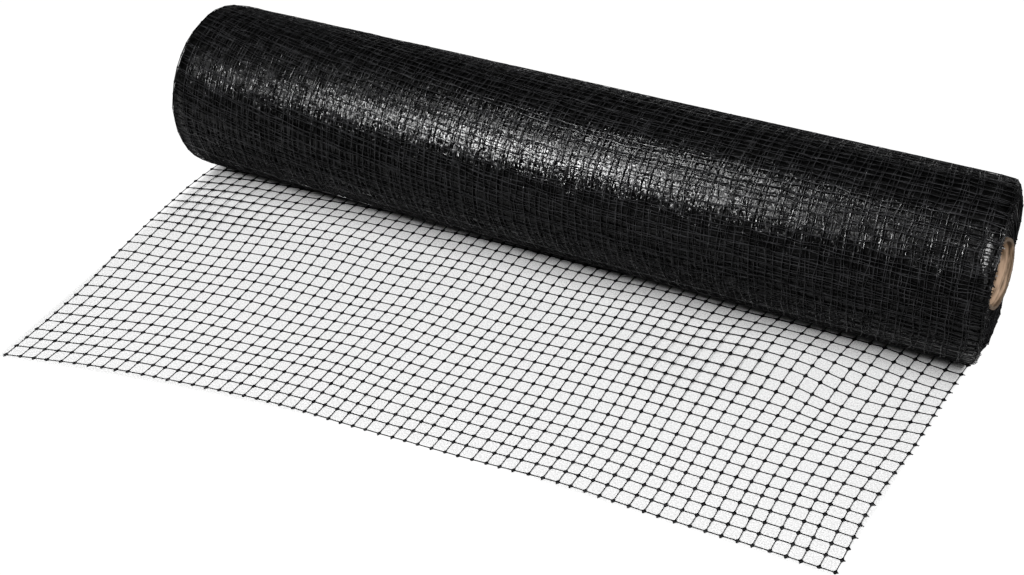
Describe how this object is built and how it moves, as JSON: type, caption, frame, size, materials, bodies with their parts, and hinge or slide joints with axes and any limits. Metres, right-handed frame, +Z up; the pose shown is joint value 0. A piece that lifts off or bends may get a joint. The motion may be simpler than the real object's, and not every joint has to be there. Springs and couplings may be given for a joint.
{
  "type": "roll of mole netting",
  "caption": "Roll of black plastic square-mesh mole netting wound on a cardboard core, lying on its side with its loose end drawn out flat along the floor.",
  "frame": {"origin": "middle of the flat line that the roll rests on, on the floor under the roll's axis", "axes": "+X along the roll's axis, +Y away from the loose end, +Z up"},
  "size_m": [1.046, 0.5531, 0.202],
  "materials": {
    "net_plastic": "extruded black plastic strands, satin to glossy",
    "core_board": "spirally wound brown board, matt"
  },
  "bodies": {
    "root": {"net_roll": "net_plastic", "core_tube": "core_board", "loose_end": "net_plastic"}
  },
  "joints": []
}
